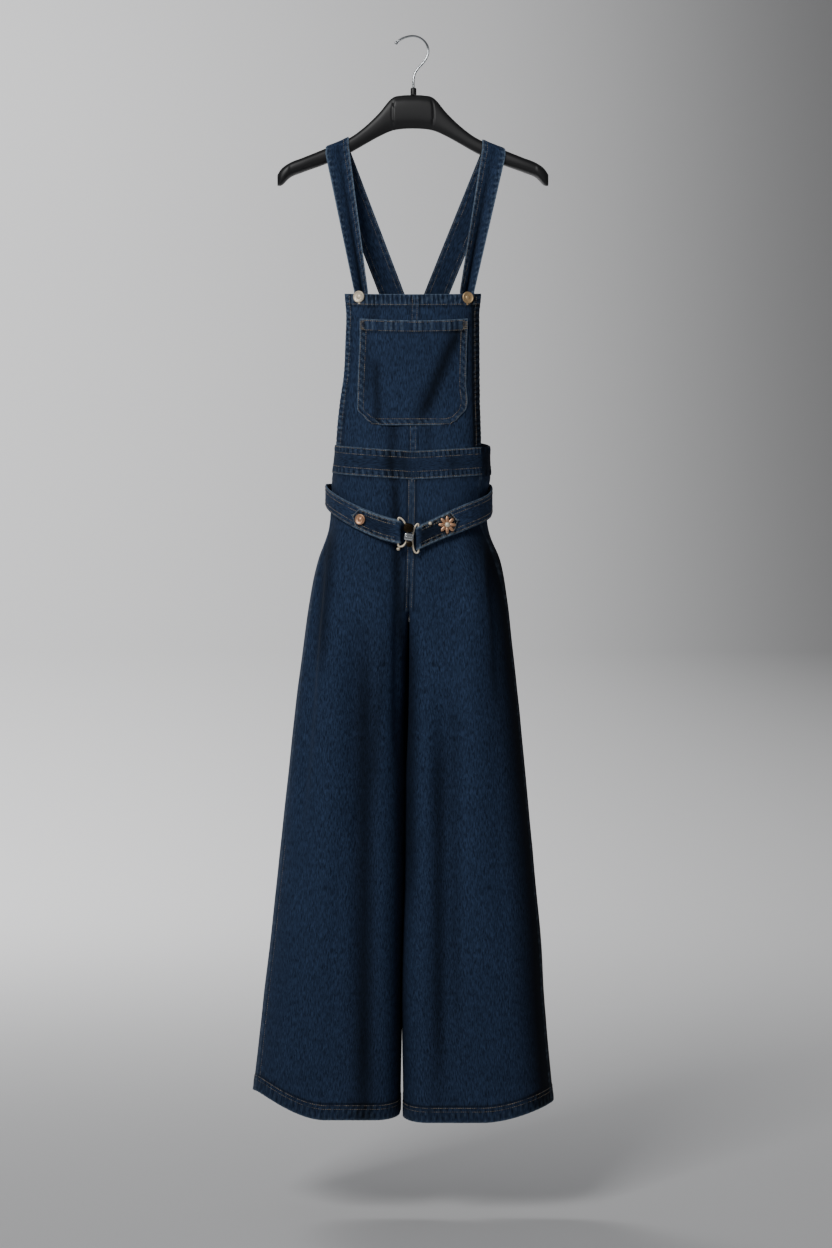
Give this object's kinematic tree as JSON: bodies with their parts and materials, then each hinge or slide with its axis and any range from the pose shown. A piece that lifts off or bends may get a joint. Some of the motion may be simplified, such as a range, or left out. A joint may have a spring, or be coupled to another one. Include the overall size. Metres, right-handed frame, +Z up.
{
  "type": "denim dungarees on a hanger",
  "caption": "Wide-legged denim dungarees with a bib, crossed straps and their own belt, hung on a black shoulder hanger.",
  "frame": {"origin": "inside the top of the hanger's hook, where a rail holds it", "axes": "+Z up along the garment, -Y towards the front, +X towards the viewer's right"},
  "size_m": [0.4634, 0.2347, 1.6584],
  "materials": {
    "denim": "matte",
    "hanger_plastic": "satin",
    "hook_steel": "polished",
    "button_brass": "satin"
  },
  "bodies": {
    "root": {"front_right": "denim", "front_left": "denim", "back_right": "denim", "back_left": "denim", "waistband_front": "denim", "waistband_back": "denim", "bib_right": "denim", "bib_left": "denim", "bib_pocket": "denim", "strap_right": "denim", "strap_left": "denim", "belt_strip": "denim", "belt_loop_right": "denim", "belt_loop_left": "denim", "belt_ring_right": "hook_steel", "belt_ring_left": "hook_steel", "hanger_body": "hanger_plastic", "hanger_collar": "hanger_plastic", "hook": "hook_steel", "bib_button_right": "button_brass", "bib_button_left": "button_brass", "belt_button": "button_brass", "belt_flower": "button_brass", "belt_flower_centre": "button_brass", "clasp_top": "button_brass", "clasp_plate": "hook_steel", "clasp_tongue": "button_brass", "belt_bead_right": "button_brass", "belt_bead_left": "button_brass"}
  },
  "joints": []
}
